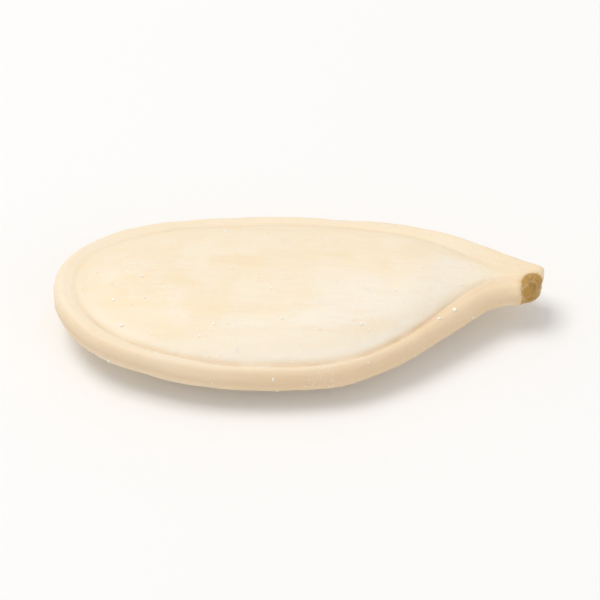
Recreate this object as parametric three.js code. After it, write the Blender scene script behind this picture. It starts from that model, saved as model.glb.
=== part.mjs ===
// A roasted, salted pumpkin seed in its hull, lying on one of its two broad faces.
//
// The hull is one closed piece. Seen from above it is a teardrop with a blunt round end at -X and a short
// beak at +X, where the seed hung in the fruit. Its far side (+Y) runs almost straight into the beak, and
// its near side swings in to it. A rim with a worn edge runs all the way round. A fine groove, deepest on
// the near side, parts it from the body, whose two faces rise from the groove as low domes, almost flat in
// the middle. The two sides of the rim meet in the beak, with a shallow valley between them, and the hilum,
// the scar that the seed hung by, is a small hollow in its blunt end. The hull is bowed, so both of its ends
// stand clear of the surface.
//
// Units are millimetres and +Z is up. The origin is at the middle of the seed's box, on the surface.

import * as THREE from "three";
import { ParametricGeometry } from "three/addons/geometries/ParametricGeometry.js";
import { mergeVertices } from "three/addons/utils/BufferGeometryUtils.js";

// Driving sizes
const LENGTH = 20;
const WIDTH = 9.5;
const RIM_THICKNESS = 1.2;
const DOME_RISE = 0.98;

// Rim, groove and beak
const EDGE_ROUNDING = 0.45;
const EDGE_SQUARENESS = 2.1;
const GROOVE_DEPTH = 0.08;
const GROOVE_SIDE = 0.24;
const GROOVE_BEAK_FADE = 0.6;
const GROOVE_FAR_FADE = 0.6;
const BEAK_THINNING = 0.1;
const HILUM_DEPTH = 0.18;
const HILUM_REACH = 0.62;
const HILUM_SLANT = 0.15;

// The two faces: how full they are across, where they stand highest and how they fall away from there
const DOME_CROWN = 2.6;
const DOME_PEAK_X = -1;
const DOME_FALL = 0.45;
const DOME_END_X = 8.7;
const DOME_END_FADE = 4.6;
const LOWER_DOME_SHARE = 0.94;

// The spine, where the two sides of a face meet, as shares of the groove's reach to either end
const SPINE_TO_ROUND_END = 0.64;
const SPINE_TO_BEAK = 0.995;

// How the grown hull departs from a true shape
const BOW = 0.45;
const TWIST = 0.1;
const SHEET_WAVE = 0.05;
const FACE_WAVE = 0.03;
const OUTLINE_WAVE = 0.03;

// Depth of the flat spot that the seed rests on
const FLAT_SPOT_DEPTH = 0.13;

// Mesh steps inward from the edge: over its rounding, down to the groove, and up the face to the spine
const ROUND_STEPS = 5;
const GROOVE_STEPS = 3;
const FACE_STEPS = 6;

// Stretches of the outline from the round end to the beak, on the far side (+Y) and the near side. Each side
// has a Bezier curve for the outer edge and one for the groove, in shares of the half length and half width.
const STRETCHES = [
  {
    part: "round end",
    steps: 25,
    far: {
      edge: [[-1, 0], [-1, 0.65], [-0.63, 0.93], [-0.1, 0.93]],
      groove: [[-0.91, 0], [-0.91, 0.52], [-0.57, 0.77], [-0.1, 0.77]],
    },
    near: {
      edge: [[-1, 0], [-1, -0.75], [-0.63, -1.07], [-0.1, -1.07]],
      groove: [[-0.91, 0], [-0.91, -0.62], [-0.58, -0.94], [-0.1, -0.94]],
    },
  },
  {
    part: "shoulder",
    steps: 23,
    far: {
      edge: [[-0.1, 0.93], [0.48, 0.93], [0.65, 0.65], [0.84, 0.41]],
      groove: [[-0.1, 0.77], [0.45, 0.77], [0.6, 0.45], [0.76, 0.21]],
    },
    near: {
      edge: [[-0.1, -1.07], [0.42, -1.07], [0.6, -0.35], [0.79, -0.15]],
      groove: [[-0.1, -0.94], [0.42, -0.94], [0.53, -0.28], [0.74, -0.01]],
    },
  },
  {
    part: "neck",
    steps: 7,
    far: {
      edge: [[0.84, 0.41], [0.885, 0.36], [0.92, 0.319], [0.955, 0.28]],
      groove: [[0.76, 0.21], [0.8, 0.152], [0.84, 0.125], [0.88, 0.11]],
    },
    near: {
      edge: [[0.79, -0.15], [0.835, -0.103], [0.89, -0.1], [0.955, -0.112]],
      groove: [[0.74, -0.01], [0.785, 0.047], [0.83, 0.065], [0.88, 0.07]],
    },
  },
  {
    part: "blunt tip",
    steps: 9,
    far: {
      edge: [[0.955, 0.28], [0.985, 0.247], [1, 0.2], [1, 0.09]],
      groove: [[0.88, 0.11], [0.9, 0.103], [0.92, 0.098], [0.935, 0.09]],
    },
    near: {
      edge: [[0.955, -0.112], [0.985, -0.118], [1, -0.06], [1, 0.09]],
      groove: [[0.88, 0.07], [0.9, 0.073], [0.92, 0.08], [0.935, 0.09]],
    },
  },
];

const halfLength = LENGTH / 2;
const halfWidth = WIDTH / 2;
const sideSteps = STRETCHES.reduce((sum, stretch) => sum + stretch.steps, 0);
const inwardSteps = ROUND_STEPS + GROOVE_STEPS + FACE_STEPS;
const tipY = STRETCHES.at(-1).far.edge.at(-1)[1] * halfWidth;
const grooveReach = -STRETCHES[0].far.groove[0][0] * halfLength;

// Eases from 0 to 1 as t goes from 0 to 1, and holds outside.
const ease = (t) => THREE.MathUtils.smoothstep(t, 0, 1);

function bezierPoint(corners, t) {
  const [a, b, c, d] = corners.map(([x, y]) => new THREE.Vector2(x * halfLength, y * halfWidth));
  return new THREE.CubicBezierCurve(a, b, c, d).getPoint(t);
}

// The edge point and the groove point of a side that lie a number of steps from the round end.
function outlinePair(side, step) {
  let left = step;
  for (const stretch of STRETCHES) {
    if (left <= stretch.steps) {
      const { edge, groove } = stretch[side];
      return [bezierPoint(edge, left / stretch.steps), bezierPoint(groove, left / stretch.steps)];
    }
    left -= stretch.steps;
  }
  throw new Error("the step is past the beak");
}

// Where a point of the true plan ends up in the grown one.
function grownPlan(x, y) {
  return [x, y + OUTLINE_WAVE * Math.sin(1.15 * x + 0.35 * y + 0.8) * (y / halfWidth)];
}

// Height of the sheet that lies midway between the two faces.
function middleSheet(x, y) {
  const along = x / halfLength;
  const across = y / halfWidth;
  const wave = Math.sin(3.1 * along + 2.3 * across + 0.6) * (along ** 2 + across ** 2);
  return BOW * along ** 2 + TWIST * along * across + SHEET_WAVE * wave;
}

// The groove is deepest on the near side. It gets shallower to the beak, the far side and the round end.
function grooveDepth({ x, y }) {
  const nearnessToBeak = ease((x / halfLength - 0.7) / 0.3);
  const farness = ease(1 + y / halfWidth / 0.8);
  return GROOVE_DEPTH * (1 - GROOVE_BEAK_FADE * nearnessToBeak) * (1 - GROOVE_FAR_FADE * farness);
}

// Half the thickness in the rim at a plan point, at a distance in from the edge.
function rimHalfThickness(plan, distance, rimWidth) {
  const inward = Math.min(distance / EDGE_ROUNDING, 1);
  const rounding = (1 - (1 - inward) ** EDGE_SQUARENESS) ** (1 / EDGE_SQUARENESS);
  const thinning = BEAK_THINNING * ease((plan.x / halfLength - 0.7) / 0.3);
  const dip = grooveDepth(plan) * ease(1 - (rimWidth - distance) / GROOVE_SIDE);
  return (RIM_THICKNESS / 2 - thinning) * rounding - dip;
}

// How far a face stands above its groove. The share runs from 0 at the groove to 1 at the spine.
function domeRise(x, share) {
  const fall = DOME_FALL * ((x - DOME_PEAK_X) / halfLength) ** 2;
  const height = DOME_RISE * (1 - fall) * ease((DOME_END_X - x) / DOME_END_FADE);
  return height * (1 - (1 - share) ** DOME_CROWN);
}

// Low swells in a face, none at its foot.
function faceWave(x, y, share) {
  return FACE_WAVE * ease(2 * share) * Math.sin(0.9 * x + 0.4) * Math.cos(0.8 * y + 1.1);
}

// How far a point near the tip lies back from the true one, for the slant of the end and the hilum's hollow.
function hilumSetback(x, y, z) {
  const nearTip = ease((x - halfLength) / HILUM_REACH + 1);
  const aside = y - tipY;
  const hollow = HILUM_DEPTH * ease(1 - Math.hypot(aside, z) / HILUM_REACH);
  return nearTip * (hollow - HILUM_SLANT * aside);
}

// Where the two sides of a face meet, at a number of steps from the round end. The spine's points are spread
// evenly to the round end, where those of the groove bunch up, and it ends straight.
function spinePoint(roundStep) {
  const [, far] = outlinePair("far", roundStep);
  const [, near] = outlinePair("near", roundStep);
  const middle = far.add(near).multiplyScalar(0.5);
  const evened = Math.sqrt(THREE.MathUtils.clamp(1 + middle.x / grooveReach, 0, 1));
  middle.x = middle.x < 0 ? SPINE_TO_ROUND_END * grooveReach * (evened - 1) : SPINE_TO_BEAK * middle.x;
  middle.y *= evened;
  return middle;
}

// The true plan point and the half thickness on a side, so many steps from the round end and so many inward.
function trueSection(side, roundStep, inwardStep) {
  const [edge, groove] = outlinePair(side, roundStep);
  const rimWidth = edge.distanceTo(groove);
  if (inwardStep <= ROUND_STEPS + GROOVE_STEPS) {
    const turn = (Math.min(inwardStep / ROUND_STEPS, 1) * Math.PI) / 2;
    const past = Math.max(inwardStep - ROUND_STEPS, 0) / GROOVE_STEPS;
    const distance = EDGE_ROUNDING * (1 - Math.cos(turn)) + (rimWidth - EDGE_ROUNDING) * past;
    const plan = edge.lerp(groove, distance / rimWidth);
    return { plan, half: rimHalfThickness(plan, distance, rimWidth), share: 0 };
  }
  const share = ((inwardStep - ROUND_STEPS - GROOVE_STEPS) / FACE_STEPS) ** 1.25;
  const plan = groove.lerp(spinePoint(roundStep), share);
  const foot = rimHalfThickness(plan, rimWidth, rimWidth);
  return { plan, half: foot + domeRise(plan.x, share), share };
}

// One point of the hull. u goes once round the outline from the round end, by the far side first. v goes from
// the spine of the upper face (0) over the edge (0.5) to the spine of the lower face (1).
function hullPoint(u, v, target) {
  const side = u <= 0.5 ? "far" : "near";
  const face = v <= 0.5 ? 1 : -1;
  const roundStep = sideSteps * (1 - Math.abs(1 - 2 * u));
  const inwardStep = inwardSteps * Math.abs(1 - 2 * v);
  const { plan, half, share } = trueSection(side, roundStep, inwardStep);

  const [x, y] = grownPlan(plan.x, plan.y);
  const fullness = face > 0 ? 1 : LOWER_DOME_SHARE;
  const z = face * (half * fullness + faceWave(x, y, share));
  target.set(x - hilumSetback(plan.x, plan.y, z), y, middleSheet(x, y) + z);
}

// Flattens the lowest part of the belly into the spot that the seed rests on, brings the grown plan back to
// the driving length and width, and sets the seed on the surface with its box centred on the origin.
function settle(geometry) {
  geometry.computeBoundingBox();
  const { min, max } = geometry.boundingBox;
  const floor = min.z + FLAT_SPOT_DEPTH;
  const position = geometry.getAttribute("position");
  for (let i = 0; i < position.count; i++) {
    position.setZ(i, Math.max(position.getZ(i), floor));
  }
  geometry.translate(-(min.x + max.x) / 2, -(min.y + max.y) / 2, -floor);
  geometry.scale(LENGTH / (max.x - min.x), WIDTH / (max.y - min.y), 1);
}

function makeHull() {
  const surface = new ParametricGeometry(hullPoint, 2 * sideSteps, 2 * inwardSteps);
  surface.deleteAttribute("normal");
  surface.deleteAttribute("uv");
  const hull = mergeVertices(surface, 1e-3);
  settle(hull);
  hull.computeVertexNormals();
  return hull;
}

const hullMaterial = new THREE.MeshStandardMaterial({
  color: new THREE.Color("#f5e6c8"),
  roughness: 0.62,
  metalness: 0,
});

const seed = new THREE.Group();
const hull = new THREE.Mesh(makeHull(), hullMaterial);
hull.name = "pumpkin_seed";
seed.add(hull);

export default seed;
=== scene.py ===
"""A salted pumpkin seed in its hull, lying on a pale floor in soft studio light.

The hull is grown from the same outline and section as its solid, as a much finer mesh. Then it gets the
dents, ripples, nicks and frayed tip of a real one, and the hollow of its scar. The functions that shape it
work in millimetres, and meshes are in metres.
"""

import itertools
import math
import random

import bmesh
import bpy
import numpy as np
from mathutils import Euler, Matrix, Vector, noise


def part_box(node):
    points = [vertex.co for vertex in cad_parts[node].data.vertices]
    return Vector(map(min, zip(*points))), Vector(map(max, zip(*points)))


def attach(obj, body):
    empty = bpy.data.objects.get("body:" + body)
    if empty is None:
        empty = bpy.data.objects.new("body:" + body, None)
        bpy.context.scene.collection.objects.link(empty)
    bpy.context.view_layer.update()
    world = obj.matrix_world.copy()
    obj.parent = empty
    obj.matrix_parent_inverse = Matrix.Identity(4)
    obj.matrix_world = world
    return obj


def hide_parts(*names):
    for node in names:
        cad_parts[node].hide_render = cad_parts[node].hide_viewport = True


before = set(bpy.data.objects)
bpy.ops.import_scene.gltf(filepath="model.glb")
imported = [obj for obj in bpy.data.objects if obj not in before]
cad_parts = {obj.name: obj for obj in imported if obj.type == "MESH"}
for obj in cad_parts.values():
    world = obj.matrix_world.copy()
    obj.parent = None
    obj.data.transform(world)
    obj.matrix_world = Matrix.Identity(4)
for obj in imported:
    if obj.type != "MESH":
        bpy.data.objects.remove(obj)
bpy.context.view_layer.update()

bl_info = {
    "name": "Salted pumpkin seed",
    "version": (1, 0, 0),
    "blender": (4, 5, 0),
    "location": "3D View > Sidebar > Seed",
    "description": "Grows a pumpkin seed in its hull, strews it with salt and sets it on a studio floor",
    "category": "Add Mesh",
}

MM = 0.001
SEED_NODE = "pumpkin_seed"
SEED_LOW, SEED_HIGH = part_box(SEED_NODE)
SEED_LENGTH = SEED_HIGH.x - SEED_LOW.x
SEED_WIDTH = SEED_HIGH.y - SEED_LOW.y
HALF_LENGTH = SEED_LENGTH / 2 / MM
HALF_WIDTH = SEED_WIDTH / 2 / MM

# Rim, groove and beak: lengths in millimetres, fades as shares, and where the beak begins as a share of the
# half length
EDGE_ROUNDING = 0.45
EDGE_SQUARENESS = 2.1
GROOVE_DEPTH = 0.08
GROOVE_SIDE = 0.24
GROOVE_BEAK_FADE = 0.6
GROOVE_FAR_FADE = 0.6
BEAK_THINNING = 0.1
BEAK_BEGINS = 0.7
HILUM_DEPTH = 0.18
HILUM_REACH = 0.62
HILUM_SLANT = 0.15

# The two faces: how full they are across, where they stand highest and how they fall away from there
DOME_CROWN = 2.6
DOME_PEAK_X = -1
DOME_FALL = 0.45
DOME_END_X = 8.7
DOME_END_FADE = 4.6
LOWER_DOME_SHARE = 0.94

# The spine, where the two sides of a face meet, as shares of the groove's reach to the round end and the beak
SPINE_TO_ROUND_END = 0.64
SPINE_TO_BEAK = 0.995

# How the grown hull departs from a true shape, in millimetres
BOW = 0.45
TWIST = 0.1
SHEET_WAVE = 0.05
FACE_WAVE = 0.03
OUTLINE_WAVE = 0.03
FLAT_SPOT_DEPTH = 0.13

# The scar at the end of the beak, in millimetres: how far its middle lies from the tip, how deep its hollow
# is and how high its lip. The last value is the way in which the hollow goes
SCAR_BACK = 0.5
SCAR_ASIDE = 0.55
SCAR_DEPTH = 0.22
SCAR_LIP = 0.05
SCAR_INWARD = Vector((-0.7, 0.7, 0))

# Stretches along X over which a mark of the hull comes or goes, in millimetres
TONE_COMES = (-5, 0)
ROUND_END_GOES = (-9, -6.8)
# Over these two stretches the rim's top takes painted shade at the near shoulder
SHOULDER_SHADE_COMES = (1, 4)
SHOULDER_SHADE_GOES = (7.5, 9.5)
GROOVE_GOES = (7.2, 8.8)
BEAK_COMES = (6, 9.4)
TIP_COMES = (9, 9.8)

# The same toward the near side and away from the scar's middle, in millimetres, and from the edge inward, in
# zones
NEAR_SIDE_COMES = (0.3, 3)
SCAR_GOES = (0.1, 1.15)
RIM_GOES = (1.6, 2.1)

# Widths over which the marks of the groove, of the face's foot beside it and of the seam fade. The seam's
# counts in zones, the others in millimetres
GROOVE_SPREAD = 0.13
FOOT_SPREAD = 0.3
SEAM_SPREAD = 0.15

# Layers of noise in the relief: height and wavelength in millimetres, stretch along X, and offset
DENTS = ((0.05, 3.4, 1.5, 5.1), (0.022, 1.5, 1.8, 2.3))
RIPPLES = ((0.007, 0.42, 4.5, 9.7), (0.004, 0.2, 3, 4.4))
PUCKERS = ((0.03, 0.7, 1, 8.8), (0.012, 0.3, 1, 2.9))
LUMPS = ((0.04, 1.3, 1.2, 7.3), (0.014, 0.38, 1.2, 1.9))
FRAYS = ((0.05, 0.36, 2.5, 6.1), (0.02, 0.18, 2.5, 8.2))

# Other heights and depths in the relief, in millimetres
WRINKLE_HEIGHT = 0.014
RIDGE_HEIGHT = 0.02
NICK_DEPTH = 0.1
SEAM_DEPTH = 0.025
ROUND_GROOVE_FILL = 0.025
NEAR_GROOVE_DEPTH = 0.04
GROOVE_UNEVENNESS = 0.012

# Salt grains: how much more common the small ones are, their sides and the wear of their edges as shares of
# their size, how far they lean, how low on the hull they begin, and how far their middles stand off it as a
# share of their size
GRAIN_SKEW = 2.2
GRAIN_SIDES = ((0.8, 1.3), (0.8, 1.3), (0.5, 0.8))
GRAIN_WEAR = (0.1, 0.24)
GRAIN_LEAN = 0.3
LOWEST_GRAIN = 0.15
GRAIN_STANDS_OFF = 0.1

# Patterns in the colours: the levels of noise that their soft borders lie between, their wavelength in
# millimetres, their detail, their stretch along X and their distortion
PATTERNS = {
    "mottle": (0.42, 0.68, 1.1, 4, 1, 0),
    "roast": (0.52, 0.72, 4.8, 3, 1.6, 0.6),
    "veins": (0.5, 0.72, 0.7, 3, 6, 0.3),
    # Breaks into patches the groove's tint, which is partly its tan and partly painted shade
    "groove_tan_and_shade": (0.25, 0.65, 1.3, 2, 1, 0),
    "specks": (0.7, 0.78, 0.22, 1, 1, 0),
    "speckled places": (0.45, 0.6, 2.9, 1, 1, 0),
    "bloom": (0.45, 0.65, 1.7, 2, 1, 0),
    "flecks": (0.48, 0.66, 0.17, 3, 1, 0),
    "dark places": (0.3, 0.55, 0.26, 2, 1, 0),
}

# How much paler the hull gets for each millimetre along X, Y and Z, and the screen colours of the salt's
# bloom on it and of the frosted places in the grains
PALER_ALONG = (0.016, -0.06, 0)
BLOOM_COLOUR = (252, 249, 243)
FROST_COLOUR = (251, 247, 238)

# Lights, each with its place and its size in lengths of the seed, its power in watts and its colour. The
# floor's reach from its middle is in lengths of the seed too
LIGHTS = {
    "key light": ((-7, 3, 18), 10, 0.68, (1, 0.985, 0.965)),
    "fill light": ((12, -12, 10), 12, 0.1, (0.97, 0.985, 1)),
}
SKY_STRENGTH = 0.63
FLOOR_REACH = 50

# Stretches of the outline from the round end to the beak. Each has its mesh columns, and on the far side (+Y)
# and the near side the corners of a Bezier curve for the outer edge and of one for the groove, in shares of
# the half length and half width
STRETCHES = {
    "round end": {
        "columns": 105,
        "far edge": ((-1, 0), (-1, 0.65), (-0.63, 0.93), (-0.1, 0.93)),
        "far groove": ((-0.91, 0), (-0.91, 0.52), (-0.57, 0.77), (-0.1, 0.77)),
        "near edge": ((-1, 0), (-1, -0.75), (-0.63, -1.07), (-0.1, -1.07)),
        "near groove": ((-0.91, 0), (-0.91, -0.62), (-0.58, -0.94), (-0.1, -0.94)),
    },
    "shoulder": {
        "columns": 95,
        "far edge": ((-0.1, 0.93), (0.48, 0.93), (0.65, 0.65), (0.84, 0.41)),
        "far groove": ((-0.1, 0.77), (0.45, 0.77), (0.6, 0.45), (0.76, 0.21)),
        "near edge": ((-0.1, -1.07), (0.42, -1.07), (0.6, -0.35), (0.79, -0.15)),
        "near groove": ((-0.1, -0.94), (0.42, -0.94), (0.53, -0.28), (0.74, -0.01)),
    },
    "neck": {
        "columns": 30,
        "far edge": ((0.84, 0.41), (0.885, 0.36), (0.92, 0.319), (0.955, 0.28)),
        "far groove": ((0.76, 0.21), (0.8, 0.152), (0.84, 0.125), (0.88, 0.11)),
        "near edge": ((0.79, -0.15), (0.835, -0.103), (0.89, -0.1), (0.955, -0.112)),
        "near groove": ((0.74, -0.01), (0.785, 0.047), (0.83, 0.065), (0.88, 0.07)),
    },
    "blunt tip": {
        "columns": 20,
        "far edge": ((0.955, 0.28), (0.985, 0.247), (1, 0.2), (1, 0.09)),
        "far groove": ((0.88, 0.11), (0.9, 0.103), (0.92, 0.098), (0.935, 0.09)),
        "near edge": ((0.955, -0.112), (0.985, -0.118), (1, -0.06), (1, 0.09)),
        "near groove": ((0.88, 0.07), (0.9, 0.073), (0.92, 0.08), (0.935, 0.09)),
    },
}
SIDE_COLUMNS = sum(stretch["columns"] for stretch in STRETCHES.values())
TIP_Y = STRETCHES["blunt tip"]["far edge"][-1][1]
GROOVE_REACH = -STRETCHES["round end"]["far groove"][0][0] * HALF_LENGTH

# Mesh rings inward from the edge: over its rounding, down to the groove, and up the face to the spine. Where
# the face is narrow, its rings keep this many millimetres apart, and those left over lie on the spine. Points
# that lie closer together than the weld distance, in millimetres too, become one
ZONE_RINGS = (12, 5, 58)
LEAST_RING_GAP = 0.03
WELD_DISTANCE = 0.004
INWARD_RINGS = sum(ZONE_RINGS)


def linear(red, green, blue):
    """A screen colour, each part from 0 to 255, as the linear colour that shaders take."""
    shares = (part / 255 for part in (red, green, blue))
    return tuple(s / 12.92 if s <= 0.04045 else ((s + 0.055) / 1.055) ** 2.4 for s in shares)


def ease(t):
    """Rises smoothly from 0 to 1 as t goes from 0 to 1, and holds outside. It takes numbers and arrays."""
    t = np.clip(t, 0, 1)
    return t * t * (3 - 2 * t)


def come(value, low, high):
    """0 where the value is below low, 1 where it is above high, and smooth between."""
    return ease((value - low) / (high - low))


def go(value, low, high):
    """1 where the value is below low, 0 where it is above high, and smooth between."""
    return 1 - come(value, low, high)


def bell(value, spread):
    """1 where the value is 0, and less the further it is from there."""
    return np.exp(-((value / spread) ** 2))


def colour_setting(name, description, screen_colour):
    return bpy.props.FloatVectorProperty(
        name=name, description=description, subtype="COLOR", min=0, max=1, default=linear(*screen_colour)
    )


def length_setting(name, description, default):
    return bpy.props.FloatProperty(name=name, description=description, default=default, min=0, unit="LENGTH")


class HullSettings(bpy.types.PropertyGroup):
    """Sizes and colours of the hull."""

    length: length_setting("Length", "From the round end to the tip of the beak", SEED_LENGTH)
    width: length_setting("Width", "Across the two long sides", SEED_WIDTH)
    rim_thickness: length_setting("Rim thickness", "From the upper to the lower side of the rim", 1.2 * MM)
    dome_rise: length_setting("Dome rise", "How far each face stands above its groove", 0.98 * MM)
    face: colour_setting("Face", "Main colour of the two faces", (248, 230, 200))
    pale: colour_setting("Pale patches", "The whitest places on the faces", (250, 240, 224))
    warm: colour_setting("Warm patches", "Where roasting gave the hull more colour", (244, 216, 169))
    rim: colour_setting("Rim", "Colour of the rim beside the groove", (248, 231, 205))
    # The rim side's tan is partly its own colour and partly painted shade, laid on more strongly on the near
    # side
    side: colour_setting("Rim side", "Colour of the outer side of the rim", (235, 205, 165))
    # This tan is also laid along the groove as painted shade, strongest on the near side
    groove: colour_setting("Groove", "Colour at the bottom of the groove", (226, 197, 156))
    hilum: colour_setting("Hilum", "Colour of the scar at the end of the beak", (186, 144, 68))


class SaltSettings(bpy.types.PropertyGroup):
    """How much salt there is and how coarse it is."""

    grains: bpy.props.IntProperty(
        name="Grains", description="How many salt grains cling to the hull", default=150, min=0, max=2000
    )
    smallest: length_setting("Smallest grain", "Side of the smallest grain", 0.035 * MM)
    largest: length_setting("Largest grain", "Side of the largest grain", 0.12 * MM)
    draw: bpy.props.IntProperty(
        name="Draw", description="Number that starts the random draw", default=7, min=0
    )
    crystal: colour_setting("Salt", "Colour of the grains", (255, 252, 244))


class StageSettings(bpy.types.PropertyGroup):
    """Camera, floor and light."""

    elevation: bpy.props.FloatProperty(
        name="Elevation", description="How high the camera stands above the floor",
        default=math.radians(44), subtype="ANGLE",
    )
    fill: bpy.props.FloatProperty(
        name="Fill", description="Share of the picture's width that the seed takes",
        default=0.82, min=0.1, max=1, subtype="FACTOR",
    )
    lens: bpy.props.FloatProperty(name="Lens", description="Focal length in millimetres", default=200, min=20)
    floor: colour_setting("Floor", "Colour of the floor", (249, 248, 247))


def bezier(corners, t):
    """Points of a cubic Bezier curve, in millimetres, one for each t."""
    s = 1 - t
    weights = np.stack([s**3, 3 * s * s * t, 3 * s * t * t, t**3], axis=-1)
    return weights @ (np.array(corners) * (HALF_LENGTH, HALF_WIDTH))


def outline(line, column):
    """The points of one line of the outline that lie so many columns from the round end."""
    points = np.zeros((len(column), 2))
    first = 0
    for stretch in STRETCHES.values():
        t = (column - first) / stretch["columns"]
        here = (t >= 0) & (t <= 1)
        points[here] = bezier(stretch[line], t[here])
        first += stretch["columns"]
    return points


def grown_plan(x, y):
    """Where points of the true plan end up in the grown one."""
    return x, y + OUTLINE_WAVE * np.sin(1.15 * x + 0.35 * y + 0.8) * (y / HALF_WIDTH)


def middle_sheet(x, y):
    """Height of the sheet that lies midway between the two faces."""
    along = x / HALF_LENGTH
    across = y / HALF_WIDTH
    wave = np.sin(3.1 * along + 2.3 * across + 0.6) * (along**2 + across**2)
    return BOW * along**2 + TWIST * along * across + SHEET_WAVE * wave


def beakness(x):
    """0 up to where the beak begins, 1 at its tip, and smooth between."""
    return come(x / HALF_LENGTH, BEAK_BEGINS, 1)


def groove_depth(x, y):
    """The groove is deepest on the near side, and gets shallower to the beak and to the far side."""
    farness = come(y / HALF_WIDTH, -0.8, 0)
    return GROOVE_DEPTH * (1 - GROOVE_BEAK_FADE * beakness(x)) * (1 - GROOVE_FAR_FADE * farness)


def rim_half_thickness(x, y, distance, rim_width, rim_thickness):
    """Half the thickness in the rim, at a distance in from the edge."""
    inward = np.minimum(distance / EDGE_ROUNDING, 1)
    rounding = (1 - (1 - inward) ** EDGE_SQUARENESS) ** (1 / EDGE_SQUARENESS)
    dip = groove_depth(x, y) * ease(1 - (rim_width - distance) / GROOVE_SIDE)
    return (rim_thickness / 2 - BEAK_THINNING * beakness(x)) * rounding - dip


def dome_height(x, share, dome_rise):
    """How far a face stands above its groove. The share runs from 0 at the groove to 1 at the spine."""
    fall = DOME_FALL * ((x - DOME_PEAK_X) / HALF_LENGTH) ** 2
    height = dome_rise * (1 - fall) * ease((DOME_END_X - x) / DOME_END_FADE)
    return height * (1 - (1 - share) ** DOME_CROWN)


def face_wave(x, y, share):
    """Low swells in a face, none at its foot."""
    return FACE_WAVE * ease(2 * share) * np.sin(0.9 * x + 0.4) * np.cos(0.8 * y + 1.1)


def hilum_setback(x, y, z):
    """How far points near the tip lie back from it, for the slant of the end and the hilum's hollow."""
    near_tip = ease((x - HALF_LENGTH) / HILUM_REACH + 1)
    aside = y - TIP_Y * HALF_WIDTH
    hollow = HILUM_DEPTH * ease(1 - np.hypot(aside, z) / HILUM_REACH)
    return near_tip * (hollow - HILUM_SLANT * aside)


def spine_of(grooves):
    """Where the two sides of a face meet. Its points are spread evenly to the round end."""
    x, y = (sum(grooves) / 2).T
    evened = np.sqrt(np.clip(1 + x / GROOVE_REACH, 0, 1))
    spine_x = np.where(x < 0, SPINE_TO_ROUND_END * GROOVE_REACH * (evened - 1), SPINE_TO_BEAK * x)
    return np.stack([spine_x, y * evened], axis=-1)


def hull_marks(x, y, z, zone, share, off_groove, on_far_side, face):
    """How strongly each feature of the relief and the colours shows, for points of the true plan."""
    from_scar = np.hypot(x - HALF_LENGTH + SCAR_BACK, y - TIP_Y * HALF_WIDTH + SCAR_ASIDE)
    near = come(-y, *NEAR_SIDE_COMES)
    # Thins the rim side's tan and painted shade, and the near side's marks, toward the round end
    toned = 0.6 + 0.4 * come(x, *TONE_COMES)
    rim = go(zone, *RIM_GOES)
    # The rim's side gets its tan all round, and twice as strongly on the near side, where the extra is
    # painted shade
    side = toned * (0.5 + 0.5 * near) * go(zone, 0.1 + 0.3 * near, 0.5 + 0.8 * near)
    # Painted shade: at the near shoulder the rim's top takes the side's colour too
    shoulder = ~on_far_side * come(x, *SHOULDER_SHADE_COMES) * go(x, *SHOULDER_SHADE_GOES)
    grooved = go(x, *GROOVE_GOES)
    return {
        "zone": zone,
        "upper": face,
        "rim": rim,
        "groove": grooved * bell(off_groove, GROOVE_SPREAD),
        "side": np.maximum(side, 0.8 * shoulder * rim),
        "near": toned * near,
        "seam": bell(zone, SEAM_SPREAD),
        "foot": grooved * (zone > 2) * bell(off_groove - FOOT_SPREAD, FOOT_SPREAD),
        "crown": ease(2.2 * share),
        "round": go(x, *ROUND_END_GOES),
        "beak": come(x, *BEAK_COMES),
        "tip": come(x, *TIP_COMES),
        "scar": go(np.hypot(from_scar, 0.7 * z), *SCAR_GOES),
    }


def hull_surface(u, v, rim_thickness, dome_rise):
    """Points of the hull, and for each the marks that its relief and its colours go by.

    u goes once round the outline from the round end, by the +Y side first. v goes from the spine of the upper
    face (0) over the edge (0.5) to the spine of the lower face (1).
    """
    column = SIDE_COLUMNS * (1 - np.abs(1 - 2 * u))
    grooves = [outline(line, column) for line in ("far groove", "near groove")]
    on_far_side = u <= 0.5
    edges = [outline(line, column) for line in ("far edge", "near edge")]
    edge, groove = (np.where(on_far_side[:, None], *sides) for sides in (edges, grooves))
    face = np.where(v <= 0.5, 1, -1)
    ring = INWARD_RINGS * np.abs(1 - 2 * v)
    spine = spine_of(grooves)
    face_width = np.hypot(*(spine - groove).T)
    face_ring = np.maximum(ring - sum(ZONE_RINGS[:2]), 0)
    share = np.minimum(face_ring * np.maximum(1 / ZONE_RINGS[2], LEAST_RING_GAP / face_width), 1)
    zone = np.interp(ring, np.cumsum((0, *ZONE_RINGS[:2])), (0, 1, 2)) + share

    rim_width = np.hypot(*(edge - groove).T)
    turn = np.minimum(zone, 1) * math.pi / 2
    past = np.clip(zone - 1, 0, 1)
    distance = EDGE_ROUNDING * (1 - np.cos(turn)) + (rim_width - EDGE_ROUNDING) * past

    plan = edge + (groove - edge) * (distance / rim_width)[:, None] + (spine - groove) * share[:, None]
    plan_x, plan_y = plan.T
    half = rim_half_thickness(plan_x, plan_y, distance, rim_width, rim_thickness)
    half += dome_height(plan_x, share, dome_rise)

    x, y = grown_plan(plan_x, plan_y)
    fullness = np.where(face > 0, 1, LOWER_DOME_SHARE)
    z = face * (half * fullness + face_wave(x, y, share))
    points = np.stack([x - hilum_setback(plan_x, plan_y, z), y, middle_sheet(x, y) + z], axis=-1)

    off_groove = np.where(zone < 2, rim_width - distance, share * face_width)
    return points, hull_marks(plan_x, plan_y, z, zone, share, off_groove, on_far_side, face)


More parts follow.
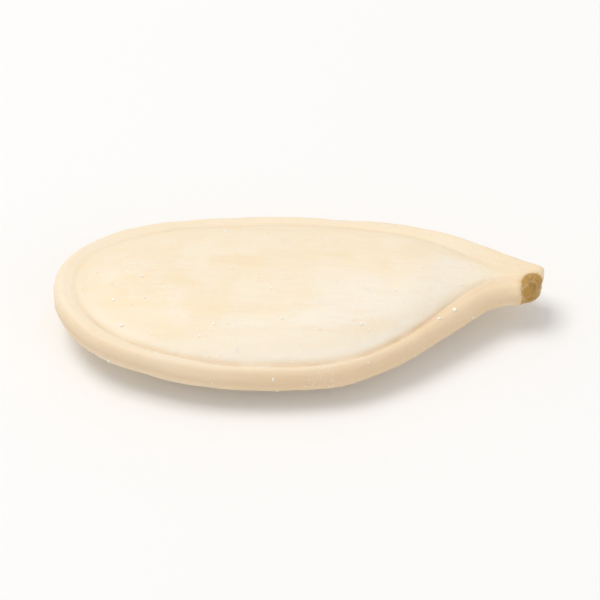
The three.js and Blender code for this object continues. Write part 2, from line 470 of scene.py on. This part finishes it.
def settle(points, length, width):
    """Flattens the lowest part of the belly, brings the plan to its size and sets the points on the floor."""
    low, high = points.min(axis=0), points.max(axis=0)
    floor = low[2] + FLAT_SPOT_DEPTH
    points[:, 2] = np.maximum(points[:, 2], floor)
    points -= ((low[0] + high[0]) / 2, (low[1] + high[1]) / 2, floor)
    points[:, 0] *= length / (high[0] - low[0])
    points[:, 1] *= width / (high[1] - low[1])


def drift(point, wavelength, stretch, offset):
    """Smooth noise from about -1 to 1 at a point in millimetres, drawn out along X by the stretch."""
    place = Vector((point.x / stretch + offset, point.y - offset, point.z + 2 * offset))
    return noise.noise(place / wavelength)


def layered(point, layers):
    """The height at a point of several layers of noise together."""
    return sum(height * drift(point, *layer) for height, *layer in layers)


def relief(point, mark):
    """How far the real surface stands off the smooth one at a point, in millimetres."""
    wrinkled = ease(1.6 * drift(point, 3.1, 1, 6.6) + 0.6)
    wrinkles = WRINKLE_HEIGHT * (0.4 - abs(drift(point, 0.6, 4, 3.7))) * wrinkled
    ridges = RIDGE_HEIGHT * noise.noise(Vector((point.x / 3, point.y / 3, 3.2 * mark["zone"])))
    nicks = NICK_DEPTH * max(0, drift(point, 0.5, 1, 5.5) - 0.42)
    filled = ROUND_GROOVE_FILL * mark["round"] - NEAR_GROOVE_DEPTH * mark["near"]
    return (
        mark["crown"] * (layered(point, DENTS) + wrinkles + layered(point, RIPPLES))
        + mark["foot"] * layered(point, PUCKERS)
        + mark["rim"] * (layered(point, LUMPS) + ridges)
        - mark["side"] * nicks
        - SEAM_DEPTH * mark["seam"]
        + mark["groove"] * (filled - GROOVE_UNEVENNESS * drift(point, 0.9, 2, 3.3))
        + mark["tip"] * layered(point, FRAYS)
        + SCAR_LIP * ease(2.5 * mark["scar"])
    )


def scar_hollow(point, mark):
    """How far a point moves into the beak for the scar's hollow, which has an uneven bottom."""
    depth = SCAR_DEPTH * (1 + 0.25 * drift(point, 0.4, 1, 4.1)) * ease(1.9 * mark["scar"] - 0.6)
    return SCAR_INWARD * depth


def grow_hull(settings):
    """The hull as one closed mesh, with its marks as point attributes."""
    hull = bmesh.new()
    bmesh.ops.create_grid(
        hull, x_segments=2 * SIDE_COLUMNS, y_segments=2 * INWARD_RINGS, size=0.5,
        matrix=Matrix.Translation((0.5, 0.5, 0)),
    )
    u, v, _ = np.array([vertex.co for vertex in hull.verts]).round(6).T
    points, marks = hull_surface(u, v, settings.rim_thickness / MM, settings.dome_rise / MM)
    settle(points, settings.length / MM, settings.width / MM)
    for vertex, point in zip(hull.verts, points):
        vertex.co = point
    for name, values in marks.items():
        layer = hull.verts.layers.float.new(name)
        for vertex, value in zip(hull.verts, values):
            vertex[layer] = value

    bmesh.ops.remove_doubles(hull, verts=hull.verts, dist=WELD_DISTANCE)
    bmesh.ops.recalc_face_normals(hull, faces=hull.faces)
    hull.normal_update()
    roughen(hull)
    bmesh.ops.scale(hull, vec=(MM, MM, MM), verts=hull.verts)
    for face in hull.faces:
        face.smooth = True
    return hull


def roughen(hull):
    """Moves points by the relief, up or down on the faces and outward on the rim. Hollows the scar."""
    layers = {layer.name: layer for layer in hull.verts.layers.float.values()}
    for vertex in hull.verts:
        mark = {name: vertex[layer] for name, layer in layers.items()}
        outward = Vector((0, 0, mark["upper"])).lerp(vertex.normal, mark["rim"])
        vertex.co += outward * relief(vertex.co, mark) + scar_hollow(vertex.co, mark)
    for vertex in hull.verts:
        vertex.co.z = max(vertex.co.z, 0)


def salt_chance(point, mark):
    """How likely a grain sticks at a point: in patches, more so in the groove and less so on the beak."""
    patch = max(0, drift(point, 2.6, 1, 11.3) + 0.25)
    return (0.06 + patch**2 + 0.7 * mark["groove"] * patch) * (1 - 0.7 * mark["beak"])


def add_grain(salt, size, place, turned, draw):
    """One salt crystal: a slightly uneven cube with its edges worn off."""
    made = bmesh.ops.create_cube(salt, size=size, matrix=Matrix.Translation(place) @ turned)
    edges = list({edge for vertex in made["verts"] for edge in vertex.link_edges})
    bmesh.ops.bevel(
        salt, geom=edges, offset=size * draw.uniform(*GRAIN_WEAR),
        affect="EDGES", segments=1, profile=0.5, material=-1,
    )


def strew_salt(hull, settings):
    """Grains sunk a little into the hull's mesh, placed by a seeded draw."""
    draw = random.Random(settings.draw)
    marks = {name: hull.attributes[name].data for name in ("groove", "beak")}
    faces = list(hull.polygons)
    areas = list(itertools.accumulate(face.area for face in faces))
    salt = bmesh.new()
    left = settings.grains
    while left:
        face = draw.choices(faces, cum_weights=areas)[0]
        mark = {name: data[face.vertices[0]].value for name, data in marks.items()}
        if face.center.z < LOWEST_GRAIN * MM or draw.random() > salt_chance(face.center / MM, mark):
            continue
        size = settings.smallest + (settings.largest - settings.smallest) * draw.random() ** GRAIN_SKEW
        leans = (draw.uniform(-GRAIN_LEAN, GRAIN_LEAN), draw.uniform(-GRAIN_LEAN, GRAIN_LEAN))
        tilt = Euler((*leans, draw.uniform(0, math.pi))).to_matrix()
        shape = Matrix.Diagonal([draw.uniform(*sides) for sides in GRAIN_SIDES])
        turned = face.normal.to_track_quat("Z", "Y").to_matrix() @ tilt @ shape
        place = face.center + GRAIN_STANDS_OFF * size * face.normal
        add_grain(salt, size, place, turned.to_4x4(), draw)
        left -= 1
    return salt


class Shading:
    """A new material, and short ways to add nodes to it. Its patterns take lengths in millimetres."""

    def __init__(self, name):
        self.material = bpy.data.materials.new(name)
        self.material.use_nodes = True
        self.tree = self.material.node_tree
        self.shader = self.tree.nodes["Principled BSDF"]
        self.place = self.add("ShaderNodeTexCoord").outputs["Object"]

    def add(self, kind, inputs=(), **settings):
        """A new node. The inputs are pairs of a socket and the value or the output that it gets."""
        node = self.tree.nodes.new(kind)
        for name, value in settings.items():
            setattr(node, name, value)
        for socket, value in inputs:
            self.feed(node.inputs[socket], value)
        return node

    def feed(self, socket, value):
        if isinstance(value, bpy.types.NodeSocket):
            self.tree.links.new(value, socket)
        elif socket.type == "RGBA":
            socket.default_value = (*value[:3], 1)
        else:
            socket.default_value = value

    def mark(self, name):
        return self.add("ShaderNodeAttribute", attribute_name=name).outputs["Fac"]

    def along(self, stretch):
        """Places drawn out along X, for patterns that run lengthwise."""
        inputs = [("Vector", self.place), ("Scale", (1 / stretch, 1, 1))]
        return self.add("ShaderNodeMapping", inputs).outputs["Vector"]

    def noise(self, wavelength, detail=2.0, place=None, distortion=0.0):
        inputs = [
            ("Vector", place or self.place), ("Scale", 1 / (wavelength * MM)),
            ("Detail", detail), ("Distortion", distortion),
        ]
        return self.add("ShaderNodeTexNoise", inputs).outputs["Fac"]

    def slope(self, per_millimetre):
        """A value that grows by so much for each millimetre along X, Y and Z."""
        inputs = [(0, self.place), (1, [share / MM for share in per_millimetre])]
        return self.add("ShaderNodeVectorMath", inputs, operation="DOT_PRODUCT").outputs["Value"]

    def rim_fibres(self, wavelength, lines_per_zone):
        """Noise that changes fast from the edge inward and slowly along the outline."""
        across = self.maths("MULTIPLY", self.mark("zone"), lines_per_zone * wavelength * MM)
        inputs = [
            ("Vector", self.place), ("W", across), ("Scale", 1 / (wavelength * MM)), ("Detail", 1.0),
        ]
        return self.add("ShaderNodeTexNoise", inputs, noise_dimensions="4D").outputs["Fac"]

    def between(self, value, low, high):
        """0 below low, 1 above high, and smooth between."""
        inputs = [("Value", value), ("From Min", low), ("From Max", high)]
        return self.add("ShaderNodeMapRange", inputs, interpolation_type="SMOOTHSTEP").outputs["Result"]

    def patches(self, pattern):
        """Where the noise of a pattern is high, with soft borders."""
        low, high, wavelength, detail, stretch, distortion = PATTERNS[pattern]
        return self.between(self.noise(wavelength, detail, self.along(stretch), distortion), low, high)

    def maths(self, operation, first, second):
        return self.add("ShaderNodeMath", [(0, first), (1, second)], operation=operation).outputs["Value"]

    def joined(self, operation, values):
        """The first value, joined by the operation to each of the others in turn."""
        result, *others = values
        for value in others:
            result = self.maths(operation, result, value)
        return result

    def product(self, *values):
        return self.joined("MULTIPLY", values)

    def total(self, *values):
        return self.joined("ADD", values)

    def highest(self, *values):
        return self.joined("MAXIMUM", values)

    def mixed(self, share, first, second):
        node = self.add("ShaderNodeMix", data_type="RGBA")
        for socket, value in ((node.inputs[0], share), (node.inputs[6], first), (node.inputs[7], second)):
            self.feed(socket, value)
        return node.outputs[2]

    def surface(self, inputs):
        """Gives the shader its inputs, by their names."""
        for name, value in inputs.items():
            self.feed(self.shader.inputs[name], value)

    def bump(self, height, distance):
        """A normal from a height between 0 and 1. The distance in millimetres is what 1 stands for."""
        inputs = [("Height", height), ("Distance", distance * MM)]
        return self.add("ShaderNodeBump", inputs).outputs["Normal"]


def hull_colour(shading, settings, fibres, bloom):
    """Cream faces with paler and warmer places, a warmer rim and beak, a brown scar and a bloom of salt.
    Painted light pales the face's near foot, and painted shade darkens the rim side and the groove, most on
    the near side.
    """
    s = shading
    crown, near, beak = (s.mark(name) for name in ("crown", "near", "beak"))
    paler = s.between(s.total(s.noise(5.5), s.slope(PALER_ALONG)), 0.4, 0.66)
    pale = s.product(paler, s.total(s.product(crown, 0.5), 0.3))
    mottle = s.product(s.patches("mottle"), crown, 0.4)
    roast = s.product(s.patches("roast"), 0.35)
    veins = s.product(s.patches("veins"), 0.22)
    groove_tan_and_shade = s.total(s.product(s.patches("groove_tan_and_shade"), 0.45), 0.3)

    # Each tint covers those before it by its share, from 0 to 1
    tints = (
        (s.highest(pale, mottle), settings.pale),
        (s.highest(s.product(beak, 0.45), roast, veins), settings.warm),
        (s.product(s.mark("rim"), 0.6), settings.rim),
        (s.product(beak, 0.35), settings.warm),
        # Painted light: on the near side the face's foot beside the groove is made paler, against the shade
        # of its slope
        (s.product(s.mark("foot"), near, 0.7), settings.pale),
        # The groove's tan, with painted shade along its crease that is strongest on the near side
        (s.product(s.mark("groove"), groove_tan_and_shade, s.total(s.product(near, 0.8), 0.2)), settings.groove),
        # The rim side's tan, with painted shade on the near side and at the near shoulder
        (s.product(s.mark("side"), 0.8), settings.side),
        (s.product(s.mark("seam"), 0.4), settings.groove),
        (s.product(s.between(fibres, 0.5, 0.75), 0.1), settings.groove),
        (s.product(s.patches("specks"), s.patches("speckled places"), 0.35), settings.groove),
        (bloom, linear(*BLOOM_COLOUR)),
    )
    colour = settings.face
    for share, tint in tints:
        colour = s.mixed(share, colour, tint)
    return scarred(s, colour, settings)


def scarred(shading, colour, settings):
    """The colour with a tan stain, a brown scar and the scar's dark core at the end of the beak."""
    s = shading
    ragged = s.total(s.mark("scar"), s.product(s.noise(0.5), 0.5), s.product(s.noise(0.11), 0.3), -0.4)
    stained = s.mixed(s.product(s.between(ragged, 0.05, 0.55), 0.75), colour, settings.groove)
    flecked = s.mixed(s.product(s.patches("flecks"), 0.4), settings.hilum, settings.groove)
    browned = s.mixed(s.between(ragged, 0.38, 0.66), stained, flecked)
    core = tuple(0.55 * part for part in settings.hilum)
    dark = s.product(s.between(ragged, 0.66, 1), s.patches("dark places"))
    return s.mixed(dark, browned, core)


def hull_material(settings):
    """A dull, slightly translucent hull with fine fibres, grit and a bloom of salt."""
    s = Shading("seed hull")
    crown = s.mark("crown")
    fibres = s.total(
        s.product(s.noise(0.16, place=s.along(9)), crown),
        s.product(s.rim_fibres(1.2, 9), s.maths("SUBTRACT", 1, crown)),
    )
    grit = s.noise(0.09)
    bloom = s.product(s.patches("bloom"), s.between(grit, 0.5, 0.68), 0.3)
    height = s.total(s.product(fibres, 0.8), s.product(grit, 0.4), s.product(bloom, 0.6))
    s.surface({
        "Base Color": hull_colour(s, settings, fibres, bloom),
        "Roughness": s.total(0.4, s.product(grit, 0.2), s.product(bloom, 0.5)),
        "Normal": s.bump(height, 0.016),
        "Subsurface Weight": 0.18,
        "Subsurface Radius": (1, 0.72, 0.42),
        "Subsurface Scale": 0.35 * MM,
    })
    return s.material


def salt_material(settings):
    """White crystals, frosted in places."""
    s = Shading("salt grains")
    frost = s.noise(0.05)
    s.surface({
        "Base Color": s.mixed(frost, settings.crystal, linear(*FROST_COLOUR)),
        "Roughness": s.total(0.12, s.product(frost, 0.3)),
        "IOR": 1.54,
        "Normal": s.bump(frost, 0.004),
    })
    return s.material


def floor_material(settings):
    """Plain and dull."""
    s = Shading("studio floor")
    s.surface({"Base Color": settings.floor, "Roughness": 0.75})
    return s.material


def add_piece(name, shape, material):
    """An object at the origin with the bmesh's shape, which is freed."""
    mesh = bpy.data.meshes.new(name)
    shape.to_mesh(mesh)
    shape.free()
    mesh.materials.append(material)
    piece = bpy.data.objects.new(name, mesh)
    bpy.context.scene.collection.objects.link(piece)
    return piece


class GrowHull(bpy.types.Operator):
    """Grow the seed's hull, in place of its solid"""

    bl_idname = "seed.grow_hull"
    bl_label = "Hull"

    def execute(self, context):
        settings = context.scene.seed_hull
        piece = add_piece("seed_hull", grow_hull(settings), hull_material(settings))
        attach(piece, "root")
        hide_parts(SEED_NODE)
        return {"FINISHED"}


class StrewSalt(bpy.types.Operator):
    """Strew salt grains over the hull"""

    bl_idname = "seed.strew_salt"
    bl_label = "Salt"

    def execute(self, context):
        settings = context.scene.seed_salt
        hull = bpy.data.objects["seed_hull"].data
        piece = add_piece("salt_grains", strew_salt(hull, settings), salt_material(settings))
        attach(piece, "root")
        return {"FINISHED"}


def add_light(name, target, place, size, energy, colour):
    """A soft square light, aimed at the target. Its place and its size are in lengths of the seed."""
    lamp = bpy.data.lights.new(name, "AREA")
    lamp.size = size * SEED_LENGTH
    lamp.energy = energy
    lamp.color = colour
    light = bpy.data.objects.new(name, lamp)
    light.location = [share * SEED_LENGTH for share in place]
    light.rotation_euler = (target - light.location).to_track_quat("-Z", "Y").to_euler()
    bpy.context.scene.collection.objects.link(light)


def add_camera(settings, target):
    """A long lens at the settings' height, so far off that the seed fills its share of the width."""
    camera = bpy.data.cameras.new("camera")
    camera.lens = settings.lens
    camera.clip_start = MM
    distance = SEED_LENGTH / settings.fill * camera.lens / camera.sensor_width
    back = Vector((0, -math.cos(settings.elevation), math.sin(settings.elevation)))
    viewer = bpy.data.objects.new("camera", camera)
    viewer.location = target + distance * back
    viewer.rotation_euler = (-back).to_track_quat("-Z", "Y").to_euler()
    bpy.context.scene.collection.objects.link(viewer)
    bpy.context.scene.camera = viewer


class SetStage(bpy.types.Operator):
    """Set up the floor, the lights and the camera"""

    bl_idname = "seed.set_stage"
    bl_label = "Stage"

    def execute(self, context):
        settings = context.scene.seed_stage
        ground = bmesh.new()
        bmesh.ops.create_grid(ground, x_segments=1, y_segments=1, size=FLOOR_REACH * SEED_LENGTH)
        add_piece("floor", ground, floor_material(settings))
        target = (SEED_LOW + SEED_HIGH) / 2
        for name, light in LIGHTS.items():
            add_light(name, target, *light)
        world = bpy.data.worlds.new("studio")
        world.use_nodes = True
        sky = world.node_tree.nodes["Background"].inputs
        sky["Color"].default_value = (1, 1, 1, 1)
        sky["Strength"].default_value = SKY_STRENGTH
        context.scene.world = world
        context.scene.view_settings.view_transform = "Standard"
        add_camera(settings, target)
        return {"FINISHED"}


class SeedPanel(bpy.types.Panel):
    """Lists the seed's pieces and its stage, each with its settings"""

    bl_idname = "VIEW3D_PT_seed"
    bl_label = "Salted pumpkin seed"
    bl_space_type = "VIEW_3D"
    bl_region_type = "UI"
    bl_category = "Seed"

    def draw(self, context):
        scene = context.scene
        for settings, operator in (
            (scene.seed_hull, GrowHull), (scene.seed_salt, StrewSalt), (scene.seed_stage, SetStage)
        ):
            box = self.layout.box()
            for name in type(settings).__annotations__:
                box.prop(settings, name)
            box.operator(operator.bl_idname)


CLASSES = (HullSettings, SaltSettings, StageSettings, GrowHull, StrewSalt, SetStage, SeedPanel)


def register():
    for item in CLASSES:
        bpy.utils.register_class(item)
    bpy.types.Scene.seed_hull = bpy.props.PointerProperty(type=HullSettings)
    bpy.types.Scene.seed_salt = bpy.props.PointerProperty(type=SaltSettings)
    bpy.types.Scene.seed_stage = bpy.props.PointerProperty(type=StageSettings)


def unregister():
    del bpy.types.Scene.seed_stage
    del bpy.types.Scene.seed_salt
    del bpy.types.Scene.seed_hull
    for item in reversed(CLASSES):
        bpy.utils.unregister_class(item)


def main():
    register()
    bpy.ops.seed.grow_hull()
    bpy.ops.seed.strew_salt()
    bpy.ops.seed.set_stage()


if __name__ == "__main__":
    main()
